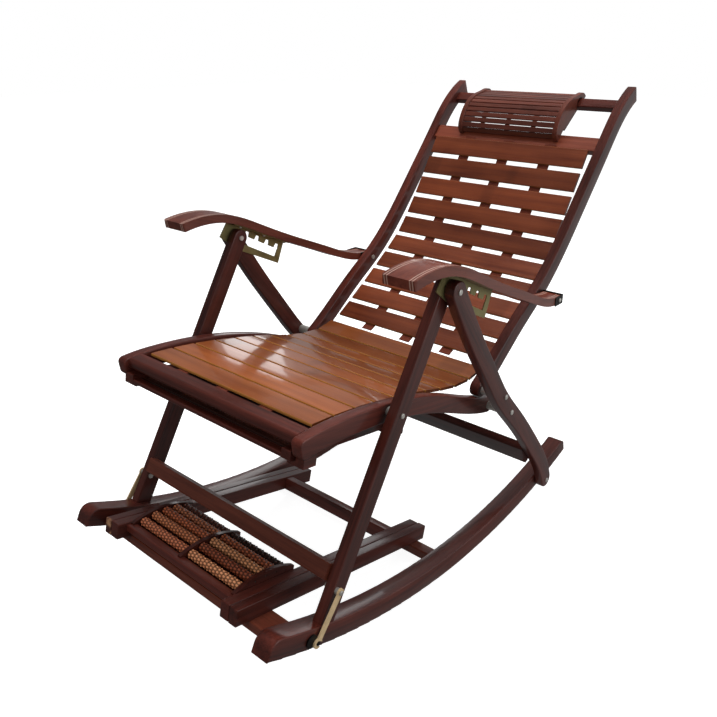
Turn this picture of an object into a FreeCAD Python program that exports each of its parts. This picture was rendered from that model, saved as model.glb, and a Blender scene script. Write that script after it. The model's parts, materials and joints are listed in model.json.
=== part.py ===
import FreeCAD, Part
import math
import os

# Folding recliner on rockers, with slatted seat and back, sliding foot massager,
# pull-out leg rest and head pillow. Millimetres; +X is the sitter's left,
# the front is -Y, the floor is Z = 0. The chair is shown fully reclined.

V = FreeCAD.Vector

# Driving dimensions
SEAT_WIDTH = 444.0        # clear width between the seat side rails
SIDE_SCALE = 1.0          # scale of the whole side view; 1.0 is 1255 mm long
RAIL_THICK = 22.0         # seat and back side rails
LEG_THICK = 20.0          # front and rear legs
ROCKER_THICK = 38.0
ROCKER_DEPTH = 37.5 * SIDE_SCALE
RAIL_DEPTH = 35.0 * SIDE_SCALE
BACK_SLAT_WIDTH = 45.3 * SIDE_SCALE
SEAT_SLAT_WIDTH = 47.5 * SIDE_SCALE
SLAT_THICK = 6.0
BOLT_RADIUS = 3.0
RUNNING_FIT = 0.05
EDGE_EASE = 2.5           # rounding of the long edges of the frame timbers
BAR_EASE = 2.0            # rounding of the thinner bars and boards
WASHER_GAP = 0.3          # between turning parts and the collars beside them

# Levels across the width, from the middle outwards
RAIL_IN = SEAT_WIDTH / 2
RAIL_OUT = RAIL_IN + RAIL_THICK
FRONT_LEG_IN = RAIL_OUT + 10.0
FRONT_LEG_OUT = FRONT_LEG_IN + LEG_THICK
PLATE_IN = FRONT_LEG_OUT + 1.0
PLATE_OUT = PLATE_IN + 2.0
REAR_LEG_IN = PLATE_OUT + 1.0
REAR_LEG_OUT = REAR_LEG_IN + LEG_THICK
ROCKER_OUT = REAR_LEG_IN - 1.0
ROCKER_IN = ROCKER_OUT - ROCKER_THICK
ARM_IN = RAIL_OUT + 3.0
ARM_FRONT_OUT = ARM_IN + 65.0
ARM_REAR_OUT = ARM_IN + 43.0
GUIDE_OUT = RAIL_IN - 32.0
GUIDE_IN = GUIDE_OUT - 18.5
SLIDER_OUT = GUIDE_IN - 1.0
SLIDER_IN = SLIDER_OUT - 20.5
RUNNER_OUT = RAIL_IN - 2.0
RUNNER_IN = RUNNER_OUT - 20.0
PILLOW_OUT = 137.0
PILLOW_IN = PILLOW_OUT - 12.0
PILLOW_SHIFT = -13.0      # the pillow hangs a little off centre


def side(y, z):
    """A point of the side view, scaled, as (Y, Z)."""
    return (y * SIDE_SCALE, z * SIDE_SCALE)


# Pivots in the side view
TOP_PIN = side(-178, 634)
SEAT_FRONT_PIVOT = side(-297, 441)
SEAT_REAR_PIVOT = side(46, 317)
BACK_PIVOT = side(16, 364)
ARM_PIVOT = side(223, 513)
FOOT_PIVOT = side(260, 45)
HOOK_PIVOT = side(-466, 182)
HOOK_CATCH = side(-522, 114)
CATCH_DISC = side(-532, 123)
ROCKER_CENTRE = side(-10, 1350)
ROCKER_RADIUS = ROCKER_CENTRE[1]

# Directions in the side view, as angles above the +Y direction in degrees
FOOT_SLOPE = -14.1
RUNNER_SLOPE = -10.0
PLATE_SLOPE = -27.5


# Helpers for the side view

def at(x, yz):
    return V(x, yz[0], yz[1])


def along(origin, slope, s, n):
    """The (Y, Z) point s along and n above a line of the given slope."""
    c = math.cos(math.radians(slope))
    d = math.sin(math.radians(slope))
    return (origin[0] + s * c - n * d, origin[1] + s * d + n * c)


def smooth(points):
    """A smooth curve through (Y, Z) points, in the plane X = 0."""
    spline = Part.BSplineCurve()
    spline.interpolate([at(0, p) for p in points])
    return spline


def offset(spline, distance, count=24):
    """Points at a distance to the left of a curve, in the side view."""
    first = spline.FirstParameter
    step = (spline.LastParameter - first) / count
    points = []
    for i in range(count + 1):
        place = spline.value(first + i * step)
        direction = spline.tangent(first + i * step)[0]
        points.append((place.y - direction.z * distance, place.z + direction.y * distance))
    return points


def line(a, b):
    return Part.makeLine(at(0, a), at(0, b))


def arc(a, middle, b):
    return Part.Arc(at(0, a), at(0, middle), at(0, b)).toShape()


def slab(edges, x_from, x_to):
    """The outline made by the edges, extruded between two X levels."""
    wire = Part.Wire(Part.__sortEdges__(edges))
    solid = Part.Face(wire).extrude(V(x_to - x_from, 0, 0))
    solid.translate(V(x_from, 0, 0))
    return solid


def polygon(points, x_from, x_to):
    closed = points + [points[0]]
    return slab([line(a, b) for a, b in zip(closed, closed[1:])], x_from, x_to)


def bar_end(a, b, tip, rounded):
    return [arc(a, tip, b)] if rounded else [line(a, b)]


def bent_bar(points, depth, x_from, x_to, round_start=False, round_end=False):
    """A bar of even depth whose side view follows a smooth line."""
    centre = smooth(points)
    upper = offset(centre, depth / 2)
    lower = offset(centre, -depth / 2)
    start_way = centre.tangent(centre.FirstParameter)[0]
    end_way = centre.tangent(centre.LastParameter)[0]
    start_tip = (points[0][0] - start_way.y * depth / 2, points[0][1] - start_way.z * depth / 2)
    end_tip = (points[-1][0] + end_way.y * depth / 2, points[-1][1] + end_way.z * depth / 2)
    edges = [smooth(upper).toShape(), smooth(lower).toShape()]
    edges += bar_end(lower[0], upper[0], start_tip, round_start)
    edges += bar_end(upper[-1], lower[-1], end_tip, round_end)
    return slab(edges, x_from, x_to)


def board(origin, slope, s_range, n_range, x_from, x_to):
    """A rectangular board laid along a line of the side view."""
    s0, s1 = s_range
    n0, n1 = n_range
    corners = [(s0, n0), (s1, n0), (s1, n1), (s0, n1)]
    return polygon([along(origin, slope, s, n) for s, n in corners], x_from, x_to)


def rod(yz, radius, x_from, x_to):
    return Part.makeCylinder(radius, x_to - x_from, at(x_from, yz), V(1, 0, 0))


def eased(solid, radius):
    """The solid with the outline of both its side faces rounded over."""
    edges = [e for e in solid.Edges if e.BoundBox.XLength < 0.01]
    return solid.makeFillet(radius, edges)


def eased_along(solid, radius):
    """The solid with its edges that run across the chair rounded over."""
    edges = [e for e in solid.Edges if e.BoundBox.YLength < 0.01 and e.BoundBox.ZLength < 0.01]
    return solid.makeFillet(radius, edges)


def mirrored(shape):
    return shape.mirror(V(0, 0, 0), V(1, 0, 0))


def both(shape):
    return [shape, mirrored(shape)]


def save(node, solids):
    """One STEP file for one node, from one solid or a list of solids."""
    shape = Part.makeCompound(solids) if isinstance(solids, list) else solids
    shape.exportStep("parts/" + node + ".step")


def save_pair(name, solid):
    save(name + "_left", solid)
    save(name + "_right", mirrored(solid))


HEAD_HEIGHT = 2.5
NUT_HEIGHT = 3.0


def bolt(yz, radius, x_from, x_to, head=5.5, nut=5.0, collars=()):
    """A bolt with a domed head outside, a nut inside and fixed collars."""
    shank = rod(yz, radius, x_from, x_to)
    dome = rod(yz, head, x_to, x_to + HEAD_HEIGHT)
    rim = [e for e in dome.Edges if e.BoundBox.XMin > x_to + HEAD_HEIGHT / 2]
    dome = dome.makeFillet(1.6, rim)
    shank = shank.fuse(dome).fuse(rod(yz, nut, x_from - NUT_HEIGHT, x_from))
    for collar_radius, collar_from, collar_to in collars:
        shank = shank.fuse(rod(yz, collar_radius, collar_from, collar_to))
    return shank.removeSplitter()


# Rockers

def on_rocker(angle, height):
    """A point on the rocker, as an angle from below its centre and a height."""
    reach = ROCKER_RADIUS - height
    a = math.radians(angle)
    return (ROCKER_CENTRE[0] + reach * math.sin(a), ROCKER_CENTRE[1] - reach * math.cos(a))


ROCKER_NOSE = -27.2       # angles of the two ends, seen from the rocker's centre
ROCKER_TAIL = 17.4
TAIL_CUT_ANGLE = 0.45
TAIL_CUT_HEIGHT = 10.0 * SIDE_SCALE
NOSE_ROUND = 21.0 * SIDE_SCALE


def rocker():
    depth = ROCKER_DEPTH
    nose = math.degrees(NOSE_ROUND / ROCKER_RADIUS)
    lean = 1 - math.sqrt(0.5)
    under = arc(on_rocker(ROCKER_NOSE, 0), on_rocker(0, 0), on_rocker(ROCKER_TAIL, 0))
    cut_low = on_rocker(ROCKER_TAIL, depth - TAIL_CUT_HEIGHT)
    cut_high = on_rocker(ROCKER_TAIL - TAIL_CUT_ANGLE, depth)
    tail_low = line(on_rocker(ROCKER_TAIL, 0), cut_low)
    tail_cut = line(cut_low, cut_high)
    over = arc(cut_high, on_rocker(0, depth), on_rocker(ROCKER_NOSE + nose, depth))
    nose_round = arc(
        on_rocker(ROCKER_NOSE + nose, depth),
        on_rocker(ROCKER_NOSE + lean * nose, depth - lean * NOSE_ROUND),
        on_rocker(ROCKER_NOSE, depth - NOSE_ROUND),
    )
    nose_front = line(on_rocker(ROCKER_NOSE, depth - NOSE_ROUND), on_rocker(ROCKER_NOSE, 0))
    outline = [under, tail_low, tail_cut, over, nose_round, nose_front]
    solid = eased(slab(outline, ROCKER_IN, ROCKER_OUT), EDGE_EASE)
    return solid.cut(foot_bolt()).cut(hook_catch())


# Sliding foot massager guides and the bars under them

FOOT_ORIGIN = side(-608, 187)
GUIDE_LENGTH = 535.0 * SIDE_SCALE
GUIDE_DEPTH = 31.0 * SIDE_SCALE
ROCKER_BARS = [
    ((32.0 * SIDE_SCALE, 85.0 * SIDE_SCALE), 18.0),     # span along the guides, thickness
    ((485.0 * SIDE_SCALE, 518.0 * SIDE_SCALE), 18.0),
]


def rocker_bar(s_range, thick):
    """A bar between the rockers that carries the guides."""
    n_range = (-GUIDE_DEPTH - thick, -GUIDE_DEPTH)
    return eased_along(board(FOOT_ORIGIN, FOOT_SLOPE, s_range, n_range, -ROCKER_IN, ROCKER_IN), 3.0)


def foot_guide():
    solid = board(FOOT_ORIGIN, FOOT_SLOPE, (0, GUIDE_LENGTH), (-GUIDE_DEPTH, 0), GUIDE_IN, GUIDE_OUT)
    return eased(eased_along(solid, BAR_EASE), 1.5)


# Legs, seat rails and stretchers

FRONT_LEG_FOOT = side(-488, 130)
LEG_OVERRUN = 20.0        # made too long, then cut back to the top of the rocker


def front_leg():
    length = math.dist(FRONT_LEG_FOOT, TOP_PIN)
    rise = TOP_PIN[1] - FRONT_LEG_FOOT[1]
    slope = math.degrees(math.atan2(rise, TOP_PIN[0] - FRONT_LEG_FOOT[0]))
    below = along(TOP_PIN, slope, -length - LEG_OVERRUN, 0)
    middle = along(TOP_PIN, slope, -length / 2, 0)
    leg = bent_bar([below, middle, TOP_PIN], RAIL_DEPTH, FRONT_LEG_IN, FRONT_LEG_OUT, round_end=True)
    leg = eased(leg, EDGE_EASE)
    rocker_top = rod(ROCKER_CENTRE, ROCKER_RADIUS - ROCKER_DEPTH, FRONT_LEG_IN, FRONT_LEG_OUT)
    leg = leg.common(rocker_top)
    return leg.cut(top_bolt()).cut(seat_front_bolt()).cut(hook_bolt())


REAR_LEG_DEPTH = 38.0 * SIDE_SCALE
REAR_LEG_LINE = [
    TOP_PIN,
    side(-100, 510),
    side(-40, 425),
    side(6, 363),
    side(80, 284),
    side(143, 214),
    side(177, 174),
    side(227, 110),
    side(259, 47),
]


def rear_leg():
    leg = bent_bar(REAR_LEG_LINE, REAR_LEG_DEPTH, REAR_LEG_IN, REAR_LEG_OUT, True, True)
    leg = eased(leg, EDGE_EASE)
    for hole in (top_bolt(), seat_rear_bolt(), back_bolt(), foot_bolt()):
        leg = leg.cut(hole)
    return leg


STRETCHER_LEAN = 60.0     # both stretchers lie in line with their legs


def front_stretcher():
    centre = side(-460, 206)
    half_width, half_thick = 15.0, 9.0
    solid = board(
        centre, STRETCHER_LEAN, (-half_width, half_width), (-half_thick, half_thick),
        -FRONT_LEG_IN, FRONT_LEG_IN,
    )
    return eased_along(solid, EDGE_EASE)


def rear_stretcher():
    top_corner = side(150, 172)
    width, thick = 56.0 * SIDE_SCALE, 20.0
    solid = board(top_corner, -STRETCHER_LEAN, (0, width), (0, thick), -REAR_LEG_IN, REAR_LEG_IN)
    return eased_along(solid, EDGE_EASE)


SEAT_RAIL_TOP = [
    side(-508, 470),
    side(-470, 472),
    side(-420, 470),
    side(-313, 457),
    side(-200, 430),
    side(-112, 398),
    side(-20, 358),
    side(46, 335),
]
SEAT_NOSE_ROUND = 10.0
SEAT_BAR_WIDTH = 31.0 * SIDE_SCALE
SEAT_BAR_THICK = 22.0
SEAT_BAR_ROUND = 9.0


def seat_rail():
    line_below = offset(smooth(SEAT_RAIL_TOP), -RAIL_DEPTH / 2)
    line_below[-1] = SEAT_REAR_PIVOT
    rail = bent_bar(line_below, RAIL_DEPTH, RAIL_IN, RAIL_OUT, round_end=True)
    nose = [e for e in rail.Edges if e.BoundBox.YMax < line_below[1][0] and e.BoundBox.XLength > 1.0]
    rail = eased(rail.makeFillet(SEAT_NOSE_ROUND, nose), EDGE_EASE)
    return rail.cut(seat_front_bolt()).cut(seat_rear_bolt())


def seat_front_bar():
    top_rear = side(-467, 471)
    solid = board(top_rear, 0, (-SEAT_BAR_WIDTH, 0), (-SEAT_BAR_THICK, 0), -RAIL_IN, RAIL_IN)
    front = [e for e in solid.Edges if e.BoundBox.XLength > 1.0 and e.BoundBox.YMax < top_rear[0] - 1.0]
    return solid.makeFillet(SEAT_BAR_ROUND, front)


# The curtain of slats: one line along the top of the seat and up the back

CURTAIN = smooth([
    side(-452, 469),
    side(-372, 461),
    side(-260, 441),
    side(-150, 414),
    side(-47, 388),
    side(12, 384),
    side(60, 394),
    side(114, 424),
    side(190, 475),
    side(265, 529),
    side(313, 569),
    side(351, 614),
    side(417, 709),
    side(468, 790),
]).toShape()
SEAT_SLATS = 10
SEAT_PITCH = 52.3 * SIDE_SCALE
BACK_SLATS = 10
BACK_PITCH = 57.0 * SIDE_SCALE
CURTAIN_SPLIT = 527.0 * SIDE_SCALE
STRIP_THICK = 2.0
STRIP_WIDTH = 28.0
STRIP_LET_IN = 0.4        # so that the band touches slats that lie along a curve
SEAT_STRIP_LEAD = 17.0 * SIDE_SCALE   # the seat bands run on to the front bar
SEAT_SLAT_SHORT = 8.0     # slats end this far inside the rails
BACK_SLAT_SHORT = 13.0


def curtain_frame(distance):
    """Place and slope of the curtain at a distance from its front end."""
    parameter = CURTAIN.getParameterByLength(distance)
    place = CURTAIN.valueAt(parameter)
    way = CURTAIN.tangentAt(parameter)
    return (place.y, place.z), math.degrees(math.atan2(way.z, way.y))


def slat(distance, width, half_length):
    """One slat whose middle is at a distance along the curtain."""
    place, slope = curtain_frame(distance)
    solid = board(place, slope, (-width / 2, width / 2), (-SLAT_THICK, 0), -half_length, half_length)
    return eased_along(solid, 1.5)


def seat_slats():
    first = SEAT_SLAT_WIDTH / 2
    half_length = RAIL_IN - SEAT_SLAT_SHORT
    return [slat(first + i * SEAT_PITCH, SEAT_SLAT_WIDTH, half_length) for i in range(SEAT_SLATS)]


def back_slats():
    last = CURTAIN.Length - BACK_SLAT_WIDTH / 2
    half_length = RAIL_IN - BACK_SLAT_SHORT
    return [slat(last - i * BACK_PITCH, BACK_SLAT_WIDTH, half_length) for i in range(BACK_SLATS)]


def strips(start, end, lead, tail, slats):
    """Three bands under the slats, each seated against every slat."""
    centres = []
    steps = 18
    under = -SLAT_THICK - STRIP_THICK / 2 + STRIP_LET_IN
    for i in range(steps + 1):
        place, slope = curtain_frame(start + (end - start) * i / steps)
        centres.append(along(place, slope, 0, under))
    centres.append(along(centres[-1], slope, tail, 0))
    if lead:
        centres.insert(0, along(centres[0], curtain_frame(start)[1], -lead, 0))
    bands = []
    for x in (-RAIL_IN / 2, 0.0, RAIL_IN / 2):
        band = bent_bar(centres, STRIP_THICK, x - STRIP_WIDTH / 2, x + STRIP_WIDTH / 2)
        bands.append(band.cut(Part.makeCompound(slats)))
    return bands


# Reclining back

BACK_LINE = [
    BACK_PIVOT,
    side(61, 395),
    side(160, 468),
    side(240, 522),
    side(342, 618),
    side(396, 680),
    side(493, 793),
    side(547, 854),
    side(620, 903.3),
]
HEAD_SLOPE = 41.1
HEAD_ORIGIN = side(582, 879)
TOP_BAR = side(584, 876.7)
CROSS_RAIL = side(484, 796)
CROSS_SLOPE = 48.0


def back_rail():
    rail = bent_bar(BACK_LINE, RAIL_DEPTH, RAIL_IN, RAIL_OUT, round_start=True)
    rail = eased(rail, EDGE_EASE)
    for pivot in (BACK_PIVOT, ARM_PIVOT):
        rail = rail.cut(rod(pivot, BOLT_RADIUS + RUNNING_FIT, RAIL_IN, RAIL_OUT))
    return rail


def top_bar():
    half_width, half_thick = 13.0, 8.0
    solid = board(
        TOP_BAR, HEAD_SLOPE, (-half_width, half_width), (-half_thick, half_thick), -RAIL_IN, RAIL_IN
    )
    return eased_along(solid, EDGE_EASE)


def cross_rail():
    solid = board(CROSS_RAIL, CROSS_SLOPE, (-12.0, 24.0), (-18.0, 0), -RAIL_IN, RAIL_IN)
    return eased_along(solid, BAR_EASE)


# Armrests with their notched support plates

ARM_TOP = [
    side(-326, 691),
    side(-272, 697),
    side(-225, 693),
    side(-183, 681),
    side(-127, 656),
    side(-47, 619),
    side(91, 561),
    side(180, 527),
    side(236, 520),
]
ARM_THICK = 17.0
ARM_CORNER = 9.0
ARM_WAIST = 150.0 * SIDE_SCALE    # from its front end to where the armrest starts to narrow
FITTING_THICK = 1.5
FITTING_LENGTH = 18.0     # from its front end to the pivot
FITTING_OUT = ARM_REAR_OUT + 3.5
PLAN_HEIGHT = 1000.0 * SIDE_SCALE


def arm_layer(top, bottom, x_from, x_to):
    """The part of the armrest board between two depths under its top face."""
    centre = smooth(ARM_TOP)
    upper = smooth(offset(centre, -top)) if top else centre
    lower = smooth(offset(centre, -bottom))
    ends = [
        Part.makeLine(upper.StartPoint, lower.StartPoint),
        Part.makeLine(upper.EndPoint, lower.EndPoint),
    ]
    return slab([upper.toShape(), lower.toShape()] + ends, x_from, x_to)


def arm_plan():
    """Plan of the armrest, narrowing to the rear, as a tall solid."""
    y_front = ARM_TOP[0][0] - 2.0
    y_rear = ARM_TOP[-1][0] + 2.0
    lean = ARM_CORNER * (1 - math.sqrt(0.5))
    inner_front = V(ARM_IN + ARM_CORNER, y_front, 0)
    inner_turn = V(ARM_IN, y_front + ARM_CORNER, 0)
    outer_front = V(ARM_FRONT_OUT - ARM_CORNER, y_front, 0)
    outer_turn = V(ARM_FRONT_OUT, y_front + ARM_CORNER, 0)
    waist = V(ARM_FRONT_OUT, y_front + ARM_WAIST, 0)
    outer_rear = V(ARM_REAR_OUT, y_rear, 0)
    inner_rear = V(ARM_IN, y_rear, 0)
    straights = [
        (inner_front, outer_front),
        (outer_turn, waist),
        (waist, outer_rear),
        (outer_rear, inner_rear),
        (inner_rear, inner_turn),
    ]
    edges = [Part.makeLine(a, b) for a, b in straights]
    edges.append(Part.Arc(inner_turn, V(ARM_IN + lean, y_front + lean, 0), inner_front).toShape())
    edges.append(Part.Arc(outer_front, V(ARM_FRONT_OUT - lean, y_front + lean, 0), outer_turn).toShape())
    return Part.Face(Part.Wire(Part.__sortEdges__(edges))).extrude(V(0, 0, PLAN_HEIGHT))


def armrest():
    blank = arm_layer(0, ARM_THICK, ARM_IN, ARM_FRONT_OUT).common(arm_plan())
    return blank.cut(arm_bolt())


def arm_fitting():
    """Metal band folded round the rear end of the armrest."""
    x_from = ARM_IN - FITTING_THICK
    y_front = ARM_PIVOT[0] - FITTING_LENGTH
    y_rear = ARM_TOP[-1][0] + 0.4
    height = ARM_THICK + 2 * FITTING_THICK
    low = ARM_PIVOT[1] - height / 2
    length = y_rear - y_front
    outer = Part.makeBox(FITTING_OUT - x_from, length + FITTING_THICK, height, V(x_from, y_front, low))
    inner = Part.makeBox(FITTING_OUT - ARM_IN - FITTING_THICK, length, height, V(ARM_IN, y_front, low))
    return outer.cut(inner).cut(arm_bolt())


# Support plate under the armrest

PIN_TRAVEL = 126.0 * SIDE_SCALE
NOTCH_COUNT = 4
NOTCH_PITCH = 31.5 * SIDE_SCALE
FLANGE_THICK = 2.0
FLANGE_IN = FRONT_LEG_IN + FLANGE_THICK
CHANNEL_LOW = -8.5        # the channel's levels, above the line through the top pin
CHANNEL_HIGH = 9.5
NOTCH_TOP = 20.0
SCREW_PLACES = (-170.0, -105.0, -45.0)


def plate_point(s, n):
    return along(TOP_PIN, PLATE_SLOPE, s, n)


def plate_shape(corners, x_from=PLATE_IN):
    return polygon([plate_point(s, n) for s, n in corners], x_from, PLATE_OUT)


def notch_plate():
    """Support plate under the armrest; its channel runs over the top pin."""
    front, rear, top = -26.0, 142.0, 60.0
    plate = plate_shape([(-38.0, -13.0), (20.0, -24.0), (148.0, -20.0), (rear, top), (front, top)])
    start = -5.0
    end = PIN_TRAVEL + 5.5
    channel = [(start, CHANNEL_LOW), (end, CHANNEL_LOW), (end, CHANNEL_HIGH), (start, CHANNEL_HIGH)]
    plate = plate.cut(plate_shape(channel))
    foot, tip = 7.0, 4.5
    low = CHANNEL_HIGH - 1.0
    for i in range(1, NOTCH_COUNT + 1):
        s = NOTCH_PITCH * i
        notch = [(s - foot, low), (s + foot, low), (s + tip, NOTCH_TOP), (s - tip, NOTCH_TOP)]
        plate = plate.cut(plate_shape(notch))
    over = arm_layer(-200.0, ARM_THICK, PLATE_IN, PLATE_OUT)
    flange = arm_layer(ARM_THICK, ARM_THICK + FLANGE_THICK, FLANGE_IN, PLATE_OUT)
    above_plate = top + 20.0
    reach = plate_shape([(front, 0), (rear, 0), (rear, above_plate), (front, above_plate)], FRONT_LEG_IN)
    return plate.cut(over).fuse(flange.common(reach)).removeSplitter()


def plate_screws():
    """Three small round heads under the flange of the support plate."""
    above = arm_layer(0, ARM_THICK + FLANGE_THICK, FRONT_LEG_IN, PLATE_OUT)
    under = smooth(offset(smooth(ARM_TOP), -ARM_THICK - FLANGE_THICK)).toShape()
    x = FRONT_LEG_IN + 9.0
    screws = []
    for place in SCREW_PLACES:
        y = place * SIDE_SCALE
        upright = Part.makeLine(V(0, y, 0), V(0, y, PLAN_HEIGHT))
        z = upright.distToShape(under)[1][0][0].z
        head = Part.makeCylinder(3.0, 3.0, V(x, y, z + 1.0), V(0, 0, -1))
        screws.append(head.cut(above))
    return screws


# Bolts and hooks; each fits its holes exactly, apart from the turning parts

def top_bolt():
    return bolt(TOP_PIN, BOLT_RADIUS, FRONT_LEG_IN, REAR_LEG_OUT)


def seat_front_bolt():
    return bolt(SEAT_FRONT_PIVOT, BOLT_RADIUS, RAIL_IN, FRONT_LEG_OUT,
                head=5.0, collars=[(8.0, RAIL_OUT, FRONT_LEG_IN)])


def seat_rear_bolt():
    return bolt(SEAT_REAR_PIVOT, BOLT_RADIUS, RAIL_IN, REAR_LEG_OUT,
                collars=[(10.0, RAIL_OUT, REAR_LEG_IN)])


def back_bolt():
    return bolt(BACK_PIVOT, BOLT_RADIUS, RAIL_IN - WASHER_GAP, REAR_LEG_OUT,
                collars=[(10.0, RAIL_OUT + WASHER_GAP, REAR_LEG_IN)])


def foot_bolt():
    return bolt(FOOT_PIVOT, BOLT_RADIUS, ROCKER_IN, REAR_LEG_OUT,
                collars=[(11.0, ROCKER_OUT, REAR_LEG_IN)])


def arm_bolt():
    return bolt(ARM_PIVOT, BOLT_RADIUS, RAIL_IN - WASHER_GAP, FITTING_OUT, head=4.5,
                collars=[(8.0, RAIL_OUT + WASHER_GAP, ARM_IN - FITTING_THICK)])


HOOK_FACE = FRONT_LEG_OUT + 6.4
HOOK_THICK = 3.0
HOOK_HALF_WIDTH = 5.5
HOOK_PLAY = 0.4           # on both sides of the hook, along its bolt
HOOK_BOLT_RADIUS = 2.5
CATCH_RADIUS = 3.5
CLAW_HOLE = CATCH_RADIUS + 1.0


def hook_bolt():
    return bolt(HOOK_PIVOT, HOOK_BOLT_RADIUS, FRONT_LEG_IN, HOOK_FACE + HOOK_THICK + HOOK_PLAY, head=4.5,
                collars=[(6.0, FRONT_LEG_OUT, HOOK_FACE - HOOK_PLAY)])


def hook_catch():
    """Catch pin, set off centre on a black disc on the outer face of the rocker."""
    pin = rod(HOOK_CATCH, CATCH_RADIUS, ROCKER_OUT - 20.0, HOOK_FACE + HOOK_THICK + 1.0)
    disc = rod(CATCH_DISC, 12.0, ROCKER_OUT, ROCKER_OUT + 3.0)
    return pin.fuse(disc).removeSplitter()


def hook():
    """Flat bar turning on the leg, with an open claw over the catch pin."""
    reach = math.dist(HOOK_PIVOT, HOOK_CATCH)
    rise = HOOK_CATCH[1] - HOOK_PIVOT[1]
    run = HOOK_CATCH[0] - HOOK_PIVOT[0]
    slope = math.degrees(math.atan2(rise, run))
    x_to = HOOK_FACE + HOOK_THICK
    bar = board(HOOK_PIVOT, slope, (0, reach), (-HOOK_HALF_WIDTH, HOOK_HALF_WIDTH), HOOK_FACE, x_to)
    bar = bar.fuse(rod(HOOK_PIVOT, HOOK_HALF_WIDTH + 2.0, HOOK_FACE, x_to))
    bar = bar.fuse(rod(HOOK_CATCH, CLAW_HOLE + 5.0, HOOK_FACE, x_to))
    bar = bar.cut(rod(HOOK_PIVOT, HOOK_BOLT_RADIUS + RUNNING_FIT, HOOK_FACE, x_to))
    bar = bar.cut(rod(HOOK_CATCH, CLAW_HOLE, HOOK_FACE, x_to))
    mouth = board(HOOK_CATCH, slope, (-CLAW_HOLE, CLAW_HOLE), (0, 30.0), HOOK_FACE, x_to)
    return bar.cut(mouth).removeSplitter()


# Sliding foot massager

FRONT_BOARD_S = (20.0 * SIDE_SCALE, 38.0 * SIDE_SCALE)
FRONT_BOARD_N = (-18.0, -4.0)
REAR_BAR_S = (445.0 * SIDE_SCALE, 466.0 * SIDE_SCALE)
REAR_BAR_TOP = -3.0
TRAY_N = (-22.0, -12.0)
SLIDER_LENGTH = 532.0 * SIDE_SCALE
SLIDER_LIFT = 0.4         # the sliders run clear of the bars under the guides
CHEEK_S = (28.0 * SIDE_SCALE, 168.0 * SIDE_SCALE)
ARCH_MIDDLE = 107.0 * SIDE_SCALE
ARCH_TOP = 18.0
ARCH_RADIUS = 172.0 * SIDE_SCALE
CHEEK_THICK = 8.0
ROLLER_RADIUS = 9.5
ROLLER_ROWS = 5
ROLLER_FIRST = 50.0 * SIDE_SCALE
ROLLER_PITCH = 24.0 * SIDE_SCALE
ROLLER_DROP = 8.5         # from the arch of the cheeks down to the roller axles
ROLLER_RINGS = 12
ROLLER_GAP = 1.0          # between a roller's ends and the cheeks
AXLE_RADIUS = 2.0


def foot_slider():
    n_range = (-GUIDE_DEPTH + SLIDER_LIFT, 0)
    solid = board(FOOT_ORIGIN, FOOT_SLOPE, (0, SLIDER_LENGTH), n_range, SLIDER_IN, SLIDER_OUT)
    return eased(eased_along(solid, BAR_EASE), 1.5)


def slider_bar(s_range, n_range):
    """A board between the two sliders."""
    solid = board(FOOT_ORIGIN, FOOT_SLOPE, s_range, n_range, -SLIDER_IN, SLIDER_IN)
    return eased_along(solid, BAR_EASE)


def arch_height(s, drop):
    """Height of the arch that the cheeks follow, or of a parallel below it."""
    return ARCH_TOP - ARCH_RADIUS + math.sqrt((ARCH_RADIUS - drop) ** 2 - (s - ARCH_MIDDLE) ** 2)


def roller_place(row):
    s = ROLLER_FIRST + row * ROLLER_PITCH
    return along(FOOT_ORIGIN, FOOT_SLOPE, s, arch_height(s, ROLLER_DROP))


def roller_tray():
    return slider_bar((FRONT_BOARD_S[1], CHEEK_S[1] + 2.0), TRAY_N)


CHEEK_LEVELS = [
    (-SLIDER_IN, -SLIDER_IN + CHEEK_THICK),
    (-CHEEK_THICK / 2, CHEEK_THICK / 2),
    (SLIDER_IN - CHEEK_THICK, SLIDER_IN),
]


def roller_cheeks():
    """Three arched cheeks on the tray that carry the roller axles."""
    def point(s, n):
        return along(FOOT_ORIGIN, FOOT_SLOPE, s, n)

    front, rear = CHEEK_S
    base = TRAY_N[1]
    front_top = point(front, arch_height(front, 0))
    rear_top = point(rear, arch_height(rear, 0))
    outline = [
        line(point(front, base), front_top),
        arc(front_top, point(ARCH_MIDDLE, ARCH_TOP), rear_top),
        line(rear_top, point(rear, base)),
        line(point(rear, base), point(front, base)),
    ]
    board_room = ((0, FRONT_BOARD_S[1]), (base, FRONT_BOARD_N[1]))
    cheeks = []
    for x_from, x_to in CHEEK_LEVELS:
        cheek = slab(outline, x_from, x_to)
        cheek = cheek.cut(board(FOOT_ORIGIN, FOOT_SLOPE, *board_room, x_from, x_to))
        for row in range(ROLLER_ROWS):
            cheek = cheek.cut(rod(roller_place(row), AXLE_RADIUS, x_from, x_to))
        cheeks.append(cheek)
    return cheeks


def roller_axles():
    reach = SLIDER_IN - 1.0
    return [rod(roller_place(row), AXLE_RADIUS, -reach, reach) for row in range(ROLLER_ROWS)]


def roller(row, x_from, x_to):
    """A beaded massage roller: a core with rounded rings along it."""
    place = roller_place(row)
    core = rod(place, ROLLER_RADIUS - 1.5, x_from, x_to)
    pitch = (x_to - x_from) / ROLLER_RINGS
    half_ring = 0.36 * pitch
    for i in range(ROLLER_RINGS):
        middle = x_from + (i + 0.5) * pitch
        core = core.fuse(rod(place, ROLLER_RADIUS, middle - half_ring, middle + half_ring))
    return core.removeSplitter().cut(rod(place, AXLE_RADIUS + RUNNING_FIT, x_from, x_to))


# Pull-out leg rest under the seat

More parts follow.
